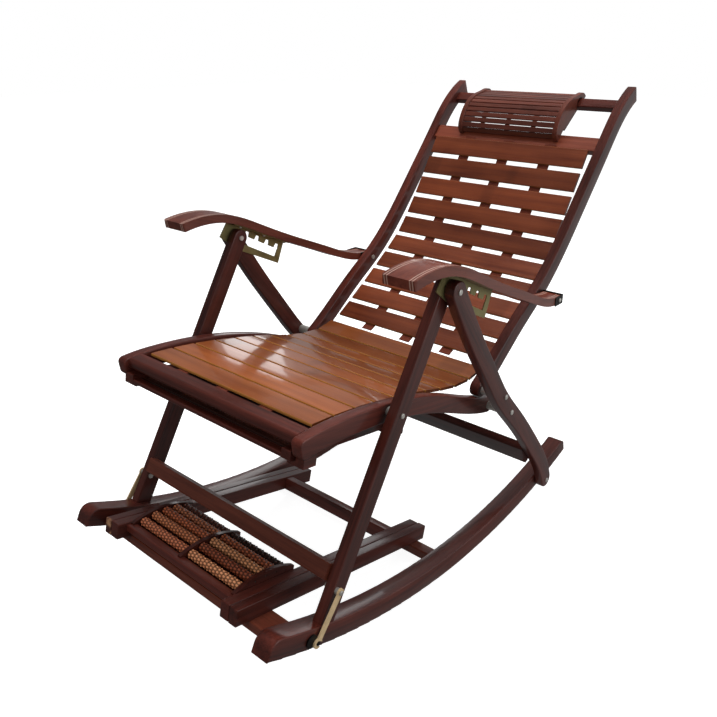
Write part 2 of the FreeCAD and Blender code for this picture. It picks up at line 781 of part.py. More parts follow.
RUNNER_FRONT = side(-505, 446)
RUNNER_LENGTH = 300.0 * SIDE_SCALE
RUNNER_DEPTH = 17.0
LEG_BAR_WIDTH = 18.0
LEG_BAR_THICK = 8.0
LEG_BAR_PLACES = (0.5, RUNNER_LENGTH - 20.0)
LEG_SLATS = 5
LEG_SLAT_FIRST = 26.0 * SIDE_SCALE
LEG_SLAT_PITCH = 50.0 * SIDE_SCALE
LEG_SLAT_WIDTH = 42.0 * SIDE_SCALE
LEG_SLAT_N = (-16.0, -10.0)
BRACKET_LENGTH = 28.0
BRACKET_PLACES = (10.0 * SIDE_SCALE, 236.0 * SIDE_SCALE)
BRACKET_TOP = 30.0        # well into the seat rail, which is cut away from it
LIP_THICK = 8.6
LIP_CLEAR = 0.4


def leg_rest_runner():
    s_range = (0, RUNNER_LENGTH)
    solid = board(RUNNER_FRONT, RUNNER_SLOPE, s_range, (-RUNNER_DEPTH, 0), RUNNER_IN, RUNNER_OUT)
    return eased_along(solid, BAR_EASE)


def between_runners(s_from, width, n_range, ease):
    solid = board(RUNNER_FRONT, RUNNER_SLOPE, (s_from, s_from + width), n_range, -RUNNER_IN, RUNNER_IN)
    return eased_along(solid, ease)


def leg_rest_bars():
    n_range = (-RUNNER_DEPTH, -RUNNER_DEPTH + LEG_BAR_THICK)
    return [between_runners(s, LEG_BAR_WIDTH, n_range, BAR_EASE) for s in LEG_BAR_PLACES]


def leg_rest_slats():
    starts = [LEG_SLAT_FIRST + i * LEG_SLAT_PITCH for i in range(LEG_SLATS)]
    return [between_runners(s, LEG_SLAT_WIDTH, LEG_SLAT_N, 1.5) for s in starts]


def leg_rest_guide(s_from):
    """A bracket under the seat rail with a lip that carries the runner."""
    s_range = (s_from, s_from + BRACKET_LENGTH)
    lip_top = -RUNNER_DEPTH - LIP_CLEAR
    low = lip_top - LIP_THICK
    block = board(RUNNER_FRONT, RUNNER_SLOPE, s_range, (low, BRACKET_TOP), RAIL_IN, RAIL_OUT - 4.0)
    lip = board(RUNNER_FRONT, RUNNER_SLOPE, s_range, (low, lip_top), RUNNER_IN + 4.0, RAIL_IN)
    under_rail = max(block.cut(seat_rail()).Solids, key=lambda solid: -solid.CenterOfMass.z)
    return under_rail.fuse(lip)


# Head pillow, swinging on loops round the top bar

def head(s, n):
    return along(HEAD_ORIGIN, HEAD_SLOPE, s, n)


PILLOW_OUTER = smooth([
    head(-126, 3),
    head(-119, 27),
    head(-102, 38),
    head(-70, 47),
    head(-31, 41.5),
    head(7, 21),
    head(26, 9),
    head(33, -8),
])
PILLOW_TAIL = 20.0 * SIDE_SCALE   # length of the hook's end, without slats
PILLOW_SLATS = 12
PILLOW_SLAT_THICK = 5.0
PILLOW_SLAT_DEPTH = 3.0   # below the edge of the cheeks
PILLOW_GAP = 0.4          # between the pillow and the rail it rests on
TIE_PLACES = (-70.0, 0.0, 70.0)
TIE_WIDTH = 12.0
TIE_THICK = 2.0
HOOK_CLEAR = 17.0


def pillow_cheek():
    """Arched side panel of the pillow, hooked over the top bar."""
    outer = PILLOW_OUTER
    chord = Part.makeLine(outer.EndPoint, outer.StartPoint)
    panel = slab([outer.toShape(), chord], PILLOW_IN, PILLOW_OUT)
    arch = [e for e in panel.Edges if e.BoundBox.XLength < 0.01 and e.Length > chord.Length + 1.0]
    panel = panel.makeFillet(1.5, arch)
    clear = rod(TOP_BAR, HOOK_CLEAR, PILLOW_IN, PILLOW_OUT)
    below_bar = board(TOP_BAR, HEAD_SLOPE, (-HOOK_CLEAR, HOOK_CLEAR), (-60, 0), PILLOW_IN, PILLOW_OUT)
    seat = board(CROSS_RAIL, CROSS_SLOPE, (-40, 40), (-40, PILLOW_GAP), PILLOW_IN, PILLOW_OUT)
    return panel.cut(clear).cut(below_bar).cut(seat).removeSplitter()


def pillow_slats():
    """Thin slats let in just under the edge of the arched cheeks."""
    edge = smooth(offset(PILLOW_OUTER, -PILLOW_SLAT_DEPTH)).toShape()
    pitch = (edge.Length - PILLOW_TAIL) / (PILLOW_SLATS + 0.6)
    slats = []
    for i in range(PILLOW_SLATS):
        parameter = edge.getParameterByLength((i + 0.8) * pitch)
        place = edge.valueAt(parameter)
        way = edge.tangentAt(parameter)
        slope = math.degrees(math.atan2(way.z, way.y))
        half = 0.42 * pitch
        n_range = (-PILLOW_SLAT_THICK, 0)
        solid = board((place.y, place.z), slope, (-half, half), n_range, -PILLOW_IN, PILLOW_IN)
        slats.append(eased_along(solid, 1.2))
    return slats


def pillow_ties(slats):
    """Bands under the pillow slats that tie them together."""
    depth = PILLOW_SLAT_DEPTH + PILLOW_SLAT_THICK + TIE_THICK / 2 - STRIP_LET_IN
    centres = offset(PILLOW_OUTER, -depth)[1:-1]
    ties = []
    for x in TIE_PLACES:
        band = bent_bar(centres, TIE_THICK, x - TIE_WIDTH / 2, x + TIE_WIDTH / 2)
        ties.append(band.cut(Part.makeCompound(slats)))
    return ties


def hung(solids):
    """Solids of the pillow, moved to where it hangs on the top bar."""
    moved = [solid.copy() for solid in solids]
    for solid in moved:
        solid.translate(V(PILLOW_SHIFT, 0, 0))
    return moved


# Export: one file for each sub-part

save_pair("rocker", rocker())
save("rocker_bars", [rocker_bar(*place) for place in ROCKER_BARS])
save_pair("foot_guide", foot_guide())
save_pair("front_leg", front_leg())
save_pair("rear_leg", rear_leg())
save("front_stretcher", front_stretcher())
save("rear_stretcher", rear_stretcher())
save_pair("seat_rail", seat_rail())
save("seat_front_bar", seat_front_bar())
SEAT_CURTAIN = seat_slats()
SEAT_BANDS_SEAT = SEAT_CURTAIN + [seat_front_bar()]
save("seat_slats", SEAT_CURTAIN)
save("seat_strips", strips(0, CURTAIN_SPLIT - 8.0, SEAT_STRIP_LEAD, 2.0, SEAT_BANDS_SEAT))
FRAME_BOLTS = [top_bolt(), seat_front_bolt(), seat_rear_bolt(), back_bolt(), foot_bolt(), hook_bolt()]
save("frame_bolts", FRAME_BOLTS + [mirrored(one) for one in FRAME_BOLTS])
save("hook_catches", both(hook_catch()))

BACK_CURTAIN = back_slats()
BACK_BANDS_SEAT = BACK_CURTAIN + [cross_rail()]
save_pair("back_rail", back_rail())
save("back_top_bar", top_bar())
save("back_cross_rail", cross_rail())
save("back_slats", BACK_CURTAIN)
save("back_strips", strips(CURTAIN_SPLIT, CURTAIN.Length, 0, 7.0, BACK_BANDS_SEAT))

save_pair("armrest", armrest())
save_pair("arm_fitting", arm_fitting())
save_pair("notch_plate", notch_plate())
ARM_FASTENERS = [arm_bolt()] + plate_screws()
save("arm_fasteners_left", ARM_FASTENERS)
save("arm_fasteners_right", [mirrored(one) for one in ARM_FASTENERS])
save_pair("hook", hook())

save_pair("foot_slider", foot_slider())
save("foot_board_front", slider_bar(FRONT_BOARD_S, FRONT_BOARD_N))
save("foot_bar_rear", slider_bar(REAR_BAR_S, (-GUIDE_DEPTH + SLIDER_LIFT, REAR_BAR_TOP)))
save("roller_tray", roller_tray())
save("roller_cheeks", roller_cheeks())
save("roller_axles", roller_axles())
LEFT_FROM = CHEEK_LEVELS[1][1] + ROLLER_GAP
LEFT_TO = CHEEK_LEVELS[2][0] - ROLLER_GAP
for row in range(ROLLER_ROWS):
    number = str(row + 1)
    save("roller_left_" + number, roller(row, LEFT_FROM, LEFT_TO))
    save("roller_right_" + number, roller(row, -LEFT_TO, -LEFT_FROM))

save_pair("leg_rest_runner", leg_rest_runner())
save("leg_rest_bars", leg_rest_bars())
save("leg_rest_slats", leg_rest_slats())
BRACKETS = [leg_rest_guide(s) for s in BRACKET_PLACES]
save("leg_rest_guides", BRACKETS + [mirrored(bracket) for bracket in BRACKETS])

PILLOW_CURTAIN = pillow_slats()
save("pillow_cheek_left", hung([pillow_cheek()]))
save("pillow_cheek_right", hung([mirrored(pillow_cheek())]))
save("pillow_slats", hung(PILLOW_CURTAIN))
save("pillow_ties", hung(pillow_ties(PILLOW_CURTAIN)))
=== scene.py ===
import json
import math

import bmesh
import bpy
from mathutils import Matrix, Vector


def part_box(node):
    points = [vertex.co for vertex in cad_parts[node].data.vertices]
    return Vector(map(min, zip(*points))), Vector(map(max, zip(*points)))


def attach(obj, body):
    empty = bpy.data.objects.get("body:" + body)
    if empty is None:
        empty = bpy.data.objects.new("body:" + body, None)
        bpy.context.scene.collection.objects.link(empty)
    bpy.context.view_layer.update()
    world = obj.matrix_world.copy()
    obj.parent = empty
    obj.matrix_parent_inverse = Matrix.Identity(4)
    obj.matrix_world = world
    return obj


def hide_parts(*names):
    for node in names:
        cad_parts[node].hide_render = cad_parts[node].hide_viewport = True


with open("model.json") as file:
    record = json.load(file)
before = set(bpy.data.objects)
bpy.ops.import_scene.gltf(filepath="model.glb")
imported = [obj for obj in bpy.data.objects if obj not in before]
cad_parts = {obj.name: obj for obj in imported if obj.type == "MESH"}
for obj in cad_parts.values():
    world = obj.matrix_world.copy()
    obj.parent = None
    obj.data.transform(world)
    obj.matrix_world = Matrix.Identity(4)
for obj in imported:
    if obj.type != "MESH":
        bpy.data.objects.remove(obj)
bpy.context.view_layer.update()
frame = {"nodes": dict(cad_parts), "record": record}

# Sizes in metres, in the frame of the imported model: +X is the sitter's left and
# the front is -Y.
CAMERA_PLACE = Vector((0.9096, -1.1499, 1.0174))
CAMERA_AIM = Vector((-0.5957, 0.6934, -0.4054))
CAMERA_LENS = 36.0
CAMERA_SENSOR = 36.0

# Colours as they read on the lit faces: woods as the dark and the light of their figure
MAHOGANY = ("1c0806", "602a20")
ARM_WOOD = ("48180f", "80402e")
RED_WOOD = ("451b12", "864430")
# the leg rest's slats: near-black, painted shade for the shadow under the seat
LEG_REST_PAINTED_SHADE = ("140805", "3a1c15")
SEAT_BAMBOO = ("6e3211", "9c5626")
BACK_BAMBOO = ("481a0b", "7e3d1f")
PILLOW_WOOD = ("34150e", "6a3426")
ROLLER_WOODS = {
    "roller_left_1": ("b4603a", "f0a878"),
    "roller_left_2": ("6b2e1e", "a05638"),
    "roller_left_3": ("b06840", "e8a878"),
    "roller_left_4": ("7a3a24", "b8643e"),
    "roller_left_5": ("24100c", "4c281e"),
    "roller_right_1": ("9a4830", "dc8860"),
    "roller_right_2": ("944a30", "d48458"),
    "roller_right_3": ("8c4028", "c87048"),
    "roller_right_4": ("8a4630", "c87c54"),
    "roller_right_5": ("381a14", "6c3a2c"),
}
# pale colour painted on the slats' long edges as a highlight
EDGE_HIGHLIGHT_GOLD = "c48a45"
WORN_TAN = "b98a66"
# pale colour painted along the armrest grooves as their highlights
GROOVE_PAINTED_HIGHLIGHT = "d9b3a2"
BAND_BROWN = "6a2f1e"
STEEL_WHITE = "d8d4cc"
STEEL_DULL = "4a403a"
ZINC_YELLOW = "9a9060"
BRASS_PALE = "f0d0a0"
PAINT_BLACK = "191616"

# Finishes: roughness of the wood, then the weight and the roughness of the lacquer on it
FRAME_FINISH = {"roughness": 0.40, "coat": 0.45, "coat_roughness": 0.13}
LEG_REST_FINISH = {"roughness": 0.50, "coat": 0.10, "coat_roughness": 0.12}
ROLLER_FINISH = {"roughness": 0.34, "coat": 0.35, "coat_roughness": 0.12}
SEAT_FINISH = {"roughness": 0.36, "coat": 0.60, "coat_roughness": 0.08}
BACK_FINISH = {"roughness": 0.38, "coat": 0.35, "coat_roughness": 0.25}


def linear(hex_colour, gain=1.0):
    """A hex colour as linear RGBA."""
    channels = []
    for i in (0, 2, 4):
        c = int(hex_colour[i:i + 2], 16) / 255
        channels.append(gain * (c / 12.92 if c <= 0.04045 else ((c + 0.055) / 1.055) ** 2.4))
    return (*channels, 1.0)


# Shader helpers

class Nodes:
    """A node tree with short calls for its nodes."""

    def __init__(self, tree):
        self.tree = tree
        self.tree.nodes.clear()

    def node(self, kind, **settings):
        made = self.tree.nodes.new(kind)
        for key, value in settings.items():
            setattr(made, key, value)
        return made

    def put(self, socket, value):
        """Sets a socket to a number or links it to another socket."""
        if isinstance(value, bpy.types.NodeSocket):
            self.tree.links.new(value, socket)
        else:
            socket.default_value = value

    def maths(self, operation, a, b=0.0):
        made = self.node("ShaderNodeMath", operation=operation)
        self.put(made.inputs[0], a)
        self.put(made.inputs[1], b)
        return made.outputs[0]

    def vector(self, operation, a, b):
        made = self.node("ShaderNodeVectorMath", operation=operation)
        self.put(made.inputs[0], a)
        self.put(made.inputs[1], b)
        return made.outputs["Value" if operation == "DOT_PRODUCT" else "Vector"]

    def split(self, vector):
        made = self.node("ShaderNodeSeparateXYZ")
        self.put(made.inputs[0], vector)
        return made.outputs

    def join(self, x, y, z):
        made = self.node("ShaderNodeCombineXYZ")
        for socket, value in zip(made.inputs, (x, y, z)):
            self.put(socket, value)
        return made.outputs[0]

    def turned(self, vector, rotation):
        made = self.node("ShaderNodeMapping")
        self.put(made.inputs["Vector"], vector)
        made.inputs["Rotation"].default_value = rotation
        return made.outputs[0]

    def place(self):
        """The place on the object, in metres."""
        return self.node("ShaderNodeTexCoord").outputs["Object"]

    def attribute(self, name):
        return self.node("ShaderNodeAttribute", attribute_name=name).outputs["Fac"]

    def noise(self, vector, scale, detail, roughness=0.6, distortion=0.0):
        made = self.node("ShaderNodeTexNoise")
        self.put(made.inputs["Vector"], vector)
        made.inputs["Scale"].default_value = scale
        made.inputs["Detail"].default_value = detail
        made.inputs["Roughness"].default_value = roughness
        made.inputs["Distortion"].default_value = distortion
        return made.outputs[0]

    def grain(self, place, across, lengthwise, detail, roughness=0.6, distortion=0.0):
        """Noise that is finer across the grain than along it."""
        drawn_out = self.vector("MULTIPLY", place, (across, lengthwise, across))
        return self.noise(drawn_out, 1.0, detail, roughness, distortion)

    def fit(self, value, source, target):
        """A value carried over from the source range to the target range."""
        made = self.node("ShaderNodeMapRange")
        self.put(made.inputs[0], value)
        for socket, number in zip(list(made.inputs)[1:5], (*source, *target)):
            socket.default_value = number
        return made.outputs[0]

    def mix(self, factor, a, b):
        made = self.node("ShaderNodeMix", data_type="RGBA")
        self.put(made.inputs[0], factor)
        self.put(made.inputs[6], a)
        self.put(made.inputs[7], b)
        return made.outputs[2]

    def scaled(self, colour, factor):
        """A colour times a number."""
        return self.vector("MULTIPLY", colour, self.join(factor, factor, factor))

    def bump(self, height, strength, distance, normal=None):
        made = self.node("ShaderNodeBump")
        made.inputs["Strength"].default_value = strength
        made.inputs["Distance"].default_value = distance
        self.put(made.inputs["Height"], height)
        if normal is not None:
            self.put(made.inputs["Normal"], normal)
        return made.outputs[0]


class Shader(Nodes):
    """A material with a principled surface."""

    def __init__(self, name):
        self.material = bpy.data.materials.new(name)
        self.material.use_nodes = True
        super().__init__(self.material.node_tree)
        self.surface = self.node("ShaderNodeBsdfPrincipled")
        output = self.node("ShaderNodeOutputMaterial")
        self.put(output.inputs["Surface"], self.surface.outputs[0])

    def finish(
        self, colour, rough, normal, metallic=0.0, specular=0.5, coat=0.0, coat_roughness=0.1,
        coat_normal=None,
    ):
        sockets = {
            "Base Color": colour, "Roughness": rough, "Normal": normal, "Metallic": metallic,
            "Specular IOR Level": specular, "Coat Weight": coat, "Coat Roughness": coat_roughness,
        }
        if coat_normal is not None:
            sockets["Coat Normal"] = coat_normal
        for name, value in sockets.items():
            self.put(self.surface.inputs[name], value)
        return self.material


# Materials. Every solid has a tone from 0 to 1, which moves its grain and its brightness.

ROCKER_CENTRE = (-0.010, 1.350)
TONE_SHIFT_ACROSS = 7.3
TONE_SHIFT_ALONG = 11.9
TONES = (0.0, 1.0)
NOISE = (0.3, 0.7)              # the range that a noise texture mostly covers


def ring_space(s, place):
    """Coordinates that run round the rockers' common centre."""
    x, y, z = s.split(place)
    y = s.maths("SUBTRACT", y, ROCKER_CENTRE[0])
    z = s.maths("SUBTRACT", ROCKER_CENTRE[1], z)
    turn = s.maths("MULTIPLY", s.maths("ARCTAN2", y, z), ROCKER_CENTRE[1])
    squares = s.maths("ADD", s.maths("MULTIPLY", y, y), s.maths("MULTIPLY", z, z))
    return s.join(x, turn, s.maths("SQRT", squares))


def grain_space(s, direction):
    """Object coordinates with the grain along Y, shifted for each solid."""
    place = s.place()
    if direction == "across":
        place = s.turned(place, (0, 0, math.radians(90)))
    elif direction == "ring":
        place = ring_space(s, place)
    else:
        place = s.turned(place, (-math.radians(direction), 0, 0))
    tone = s.attribute("tone")
    across = s.maths("MULTIPLY", tone, TONE_SHIFT_ACROSS)
    along = s.maths("MULTIPLY", tone, TONE_SHIFT_ALONG)
    return s.vector("ADD", place, s.join(across, along, tone))


# Grooves along both edges of the armrest, whose outer edge draws in from the waist to
# the rear. The grooves are dents in the surface, and the pale lines on them are painted highlights
ARM_INNER = 0.247
ARM_OUTER = 0.312
ARM_OUTER_REAR = 0.290
ARM_WAIST = -0.176
ARM_REAR = 0.236
GROOVES = (0.0055, 0.0105)      # from the edge to the middle of each groove
GROOVE_HALF = 0.0018
GROOVE_BLEND = 0.65


def groove_lines(s):
    """Lines along the two long edges of an armrest, which narrows to the rear."""
    x, y, _ = s.split(s.place())
    x = s.maths("ABSOLUTE", x)
    outer = s.fit(y, (ARM_WAIST, ARM_REAR), (ARM_OUTER, ARM_OUTER_REAR))
    total = 0.0
    for distance in (s.maths("SUBTRACT", x, ARM_INNER), s.maths("SUBTRACT", outer, x)):
        for groove in GROOVES:
            away = s.maths("ABSOLUTE", s.maths("SUBTRACT", distance, groove))
            total = s.maths("ADD", total, s.fit(away, (0.0, GROOVE_HALF), (1.0, 0.0)))
    return total


# The worn front corner of a guide, which fades out from its front to its back
WORN_FRONT = -0.609
WORN_BACK = -0.603
WORN_PATCHES = (0.46, 0.62)     # part of the noise over which the patches come in


def worn_end(s):
    """Bare wood in patches on the front corner of the foot massager's right guide."""
    place = s.place()
    x, y, _ = s.split(place)
    near_end = s.fit(y, (WORN_FRONT, WORN_BACK), (1.0, 0.0))
    right_side = s.maths("LESS_THAN", x, 0.0)
    noise = s.noise(place, scale=60.0, detail=3.0, roughness=0.55)
    patches = s.fit(noise, WORN_PATCHES, (0.0, 1.0))
    return s.maths("MULTIPLY", s.maths("MULTIPLY", near_end, right_side), patches)


TIMBER_TONES = (0.75, 1.25)     # brightness from the darkest to the lightest solid
TIMBER_SPECULAR = 0.30
PORES = (0.58, 0.72)            # part of the noise over which the pores come in
PORE_SHADE = (1.0, 0.72)
STUD_HEIGHTS = (0.10, 0.75)
STUD_PAINTED_LIGHT = (0.30, 1.6)        # painted shade between the studs, up to painted highlight on their tops


def timber(
    name, direction, colours, roughness, coat, coat_roughness,
    grooved=False, worn=False, studded=False,
):
    """Lacquered hardwood: long figure, fine pores, worn sheen."""
    s = Shader(name)
    place = grain_space(s, direction)
    figure = s.grain(place, across=30.0, lengthwise=2.2, detail=6.0, distortion=0.6)
    streak = s.grain(place, across=240.0, lengthwise=7.0, detail=5.0, roughness=0.65)
    pores = s.grain(place, across=900.0, lengthwise=40.0, detail=3.0)
    wear = s.noise(place, scale=9.0, detail=5.0)
    light_part = s.maths("ADD", s.fit(figure, NOISE, (0.0, 0.6)), s.fit(streak, NOISE, (0.0, 0.4)))
    colour = s.mix(light_part, *map(linear, colours))
    colour = s.scaled(colour, s.fit(s.attribute("tone"), TONES, TIMBER_TONES))
    colour = s.scaled(colour, s.fit(pores, PORES, PORE_SHADE))
    rough = s.maths("ADD", s.fit(wear, NOISE, (-0.06, 0.07)), roughness)
    height = s.maths("ADD", s.maths("MULTIPLY", streak, 0.5), s.maths("MULTIPLY", pores, 0.25))
    normal = s.bump(height, strength=0.18, distance=0.0006)
    if grooved:
        lines = groove_lines(s)
        # painted highlight: pale lines in the colour along the grooves, with real dents from the
        # bump below
        colour = s.mix(s.maths("MULTIPLY", lines, GROOVE_BLEND), colour, linear(GROOVE_PAINTED_HIGHLIGHT))
        depth = s.maths("MULTIPLY", lines, -1.0)
        normal = s.bump(depth, strength=0.9, distance=0.0016, normal=normal)
    if worn:
        colour = s.mix(worn_end(s), colour, linear(WORN_TAN))
    if studded:
        # painted shade between the studs and painted highlight on their tops
        colour = s.scaled(colour, s.fit(s.attribute("stud"), STUD_HEIGHTS, STUD_PAINTED_LIGHT))
    return s.finish(
        colour, rough, normal, specular=TIMBER_SPECULAR, coat=coat, coat_roughness=coat_roughness,
        coat_normal=s.bump(figure, strength=0.08, distance=0.0015),
    )


BAMBOO_TONES = (0.72, 1.20)     # brightness from the darkest to the lightest slat
JOINTS = (0.66, 0.70)           # part of the noise over which the joints come in
JOINT_SHADE = (1.0, 0.80)
JOINT_SPACING = 9.0
PAINTED_SHADE_DEPTH = (-0.30, 0.02)    # from the front to the back, over which slats get painted shade


def bamboo(name, colours, roughness, coat, coat_roughness, painted_edge_highlight=0.0, painted_rear_shade=1.0):
    """Laminated bamboo slat: glued strips, fine fibres, faint joints, pale edges that are painted
    highlights, and painted shade towards the back.
    """
    s = Shader(name)
    place = grain_space(s, "across")
    fibres = s.grain(place, across=520.0, lengthwise=5.0, detail=5.0, roughness=0.7)
    figure = s.grain(place, across=60.0, lengthwise=3.0, detail=4.0, roughness=0.55, distortion=0.3)
    cloud = s.noise(place, scale=6.0, detail=4.0)
    light_part = s.maths("ADD", s.fit(figure, NOISE, (0.0, 0.55)), s.fit(fibres, NOISE, (0.0, 0.35)))
    light_part = s.maths("ADD", light_part, s.fit(cloud, NOISE, (-0.1, 0.2)))
    colour = s.mix(light_part, *map(linear, colours))
    tone = s.fit(s.attribute("tone"), TONES, BAMBOO_TONES)
    colour = s.scaled(colour, tone)
    # painted shade: the slats get darker towards the back, by the factor given for the rear
    from_front = s.split(s.place())[1]
    colour = s.scaled(colour, s.fit(from_front, PAINTED_SHADE_DEPTH, (1.0, painted_rear_shade)))
    along = s.maths("MULTIPLY", s.split(place)[1], JOINT_SPACING)
    joints = s.noise(s.join(tone, along, tone), scale=1.0, detail=1.0, roughness=0.4)
    colour = s.scaled(colour, s.fit(joints, JOINTS, JOINT_SHADE))
    # painted highlight: pale colour on the slats' long narrow faces
    colour = s.mix(s.maths("MULTIPLY", s.attribute("edge"), painted_edge_highlight), colour, linear(EDGE_HIGHLIGHT_GOLD))
    rough = s.maths("ADD", s.fit(cloud, NOISE, (-0.05, 0.06)), roughness)
    return s.finish(
        colour, rough, s.bump(fibres, strength=0.10, distance=0.0004),
        coat=coat, coat_roughness=coat_roughness,
        coat_normal=s.bump(figure, strength=0.05, distance=0.001),
    )


SMUDGE_SHADE = 0.72             # brightness under a smudge


def metal(name, colour, roughness, metallic):
    """Plated sheet or turned metal with fine scratches and smudges."""
    s = Shader(name)
    place = s.place()
    smudge = s.noise(place, scale=45.0, detail=5.0)
    scratches = s.grain(place, across=1200.0, lengthwise=60.0, detail=3.0)
    clean = s.fit(smudge, NOISE, (0.0, 1.0))
    tint = s.mix(clean, linear(colour, SMUDGE_SHADE), linear(colour))
    rough = s.maths("ADD", s.fit(smudge, NOISE, (-0.05, 0.12)), roughness)
    return s.finish(tint, rough, s.bump(scratches, strength=0.12, distance=0.0003), metallic)


THREADS = 2600.0                # radians of the weave over a metre
WEAVE_SHADE = 0.6               # brightness between the threads
WEBBING_ROUGHNESS = 0.7


def webbing(name):
    """Brown woven band."""
    s = Shader(name)
    x, y, z = s.split(s.place())
    warp = s.maths("SINE", s.maths("MULTIPLY", x, THREADS))
    weft = s.maths("SINE", s.maths("MULTIPLY", s.maths("ADD", y, z), THREADS))
    weave = s.maths("MULTIPLY", warp, weft)
    raised = s.fit(weave, (-1, 1), (0.0, 1.0))
    colour = s.mix(raised, linear(BAND_BROWN, WEAVE_SHADE), linear(BAND_BROWN))
    return s.finish(colour, WEBBING_ROUGHNESS, s.bump(weave, strength=0.4, distance=0.0006))


# Pieces that take the place of the CAD nodes

WELD = 0.00001
SHARP_ANGLE = math.radians(32.0)
TONE_FIRST = 0.5
TONE_STEP = 0.61803             # spreads the tones evenly and keeps neighbours apart
END_FACING = 0.7                # how straight an end of a slat looks to the side
EDGE_TILT = 0.97                # the mark of a long edge starts at this tilt
EDGE_GAIN = 3


def body_of_node(node):
    bodies = frame["record"]["behaviour"]["bodies"]
    return next(body for body, members in bodies.items() if node in members)


def paired(name):
    return [name + "_left", name + "_right"]


def placed(mesh, node, material, slot):
    """Makes the finished mesh the piece that takes the place of the node."""
    data = bpy.data.meshes.new(node + "_look")
    mesh.to_mesh(data)
    mesh.free()
    data.materials.clear()
    data.materials.append(material)
    piece = bpy.data.objects.new(node + "_look", data)
    bpy.context.scene.collection.objects.link(piece)
    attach(piece, body_of_node(node))
    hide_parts(node)


def solids_of(mesh):
    """The faces of each solid in the mesh, one solid after another."""
    seen = set()
    for first in mesh.faces:
        if first.index in seen:
            continue
        solid = [first]
        seen.add(first.index)
        for face in solid:
            for other in (f for e in face.edges for f in e.link_faces):
                if other.index not in seen:
                    seen.add(other.index)
                    solid.append(other)
        yield solid


def mark_long_edges(solid, edge):
    """Marks the narrow faces along a slat, and neither its broad faces nor its ends, for the painted
    edge highlight.
    """
    broad = max(solid, key=lambda f: f.calc_area())
    for face in solid:
        tilt = abs(face.normal.dot(broad.normal))
        is_end = abs(face.normal.x) > END_FACING
        face[edge] = 0.0 if is_end else max(0.0, min(1.0, (EDGE_TILT - tilt) * EDGE_GAIN))


def smooth_by_angle(mesh):
    for face in mesh.faces:
        face.smooth = True
    for line in mesh.edges:
        line.smooth = len(line.link_faces) == 2 and line.calc_face_angle(0) < SHARP_ANGLE


def refined(node, material, slot, tone_start=0, long_edges=False):
    """The CAD node's shape, welded and smoothed, with a tone for each solid."""
    mesh = bmesh.new()
    mesh.from_mesh(frame["nodes"][node].data)
    bmesh.ops.remove_doubles(mesh, verts=mesh.verts, dist=WELD)
    tone = mesh.faces.layers.float.new("tone")
    edge = mesh.faces.layers.float.new("edge")
    mesh.faces.ensure_lookup_table()
    for index, solid in enumerate(solids_of(mesh), tone_start):
        for face in solid:
            face[tone] = (TONE_FIRST + TONE_STEP * index) % 1.0
        # the long-edge mark carries the slats' painted edge highlight
        if long_edges:
            mark_long_edges(solid, edge)
    smooth_by_angle(mesh)
    placed(mesh, node, material, slot)


# Timber frame

# Slopes of the grain in the side view, in degrees above the +Y direction
GRAIN_SLOPES = {
    "front_leg": 58.4,
    "rear_leg": -53.3,
    "seat_rail": -12.0,
    "back_rail": 44.0,
    "armrest": -17.7,
    "foot_guide": -14.1,
    "foot_slider": -14.1,
    "leg_rest_runner": -10.0,
    "leg_rest_guides": -10.0,
    "roller_cheeks": -14.1,
    "pillow_cheek": 41.1,
}
OWN_COLOURS = {"armrest": ARM_WOOD, "pillow_cheek": PILLOW_WOOD}
DARK_BARS = [
    "rear_stretcher", "seat_front_bar", "back_top_bar", "foot_bar_rear", "roller_tray",
    "leg_rest_bars", "foot_board_front",
]
RED_BARS = ["rocker_bars", "front_stretcher", "back_cross_rail"]


def sloping_timbers():
    """Legs, rails, arms and guides, each with the grain along its own slope."""
    for name, slope in GRAIN_SLOPES.items():
        is_arm = name == "armrest"
        material = timber(
            "Timber_" + name, slope, OWN_COLOURS.get(name, MAHOGANY), **FRAME_FINISH,
            grooved=is_arm, worn=name == "foot_guide",
        )
        for node in [name] if name in frame["nodes"] else paired(name):
            yield node, material, "arm_wood" if is_arm else "frame_wood"


def rockers_and_bars():
    """The rockers with the grain round their curve, and the bars across the chair."""
    for nodes, material in (
        (paired("rocker"), timber("Timber_rocker", "ring", MAHOGANY, **FRAME_FINISH)),
        (DARK_BARS, timber("Timber_bars", "across", MAHOGANY, **FRAME_FINISH)),
        (RED_BARS, timber("Timber_red_bars", "across", RED_WOOD, **FRAME_FINISH)),
    ):
        for node in nodes:
            yield node, material, "frame_wood"


def timber_frame():
    """All timbers of the frame, with tones that run on from one to the next."""
    timbers = [*sloping_timbers(), *rockers_and_bars()]
    for tone_start, (node, material, slot) in enumerate(timbers):
        refined(node, material, slot, tone_start)


# Slats and the bands that carry them

def slats():
    """Bamboo on the seat, back and pillow; the leg rest's slats are timber painted near-black as
    shade.
    """
    seat = bamboo("Bamboo_seat", SEAT_BAMBOO, **SEAT_FINISH, painted_edge_highlight=0.6, painted_rear_shade=0.55)
    back = bamboo("Bamboo_back", BACK_BAMBOO, **BACK_FINISH, painted_edge_highlight=0.25)
    pillow = bamboo("Bamboo_pillow", PILLOW_WOOD, **BACK_FINISH)
    # painted shade: the leg rest's slats are coloured near-black for the shadow under the seat front
    # bar
    leg_rest = timber("Timber_leg_rest_painted_shade", "across", LEG_REST_PAINTED_SHADE, **LEG_REST_FINISH)
    refined("seat_slats", seat, "seat_bamboo", tone_start=3, long_edges=True)
    refined("leg_rest_slats", leg_rest, "seat_bamboo", tone_start=8)
    refined("back_slats", back, "back_bamboo", tone_start=5, long_edges=True)
    refined("pillow_slats", pillow, "back_bamboo", tone_start=9)


def bands():
    band = webbing("Webbing")
    for node in ("seat_strips", "back_strips", "pillow_ties"):
        refined(node, band, "strip_webbing")


# Metal parts

